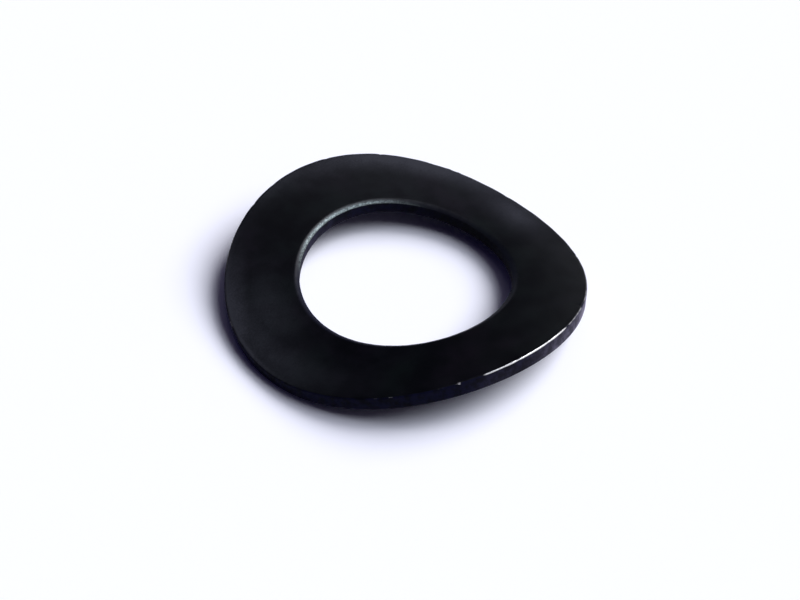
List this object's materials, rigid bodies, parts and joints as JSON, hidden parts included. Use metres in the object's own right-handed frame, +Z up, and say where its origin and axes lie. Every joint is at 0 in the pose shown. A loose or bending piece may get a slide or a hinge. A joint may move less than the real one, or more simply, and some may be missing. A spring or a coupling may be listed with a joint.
{
  "type": "wave washer",
  "caption": "Round spring washer of blackened steel strip with a plain bore, pressed into smooth waves so that it flexes and keeps its load under a screw head or nut.",
  "frame": {"origin": "on the axis of the bore, at the height of the lowest points of the underside", "axes": "+Z up along the bore; the valleys, which the washer stands on, lie on +X and -X; the crests rise on +Y and -Y"},
  "size_m": [0.0182, 0.0182, 0.0028],
  "materials": {
    "black_oxide_steel": "black oxide, satin"
  },
  "bodies": {
    "root": {"washer": "black_oxide_steel"}
  },
  "joints": []
}
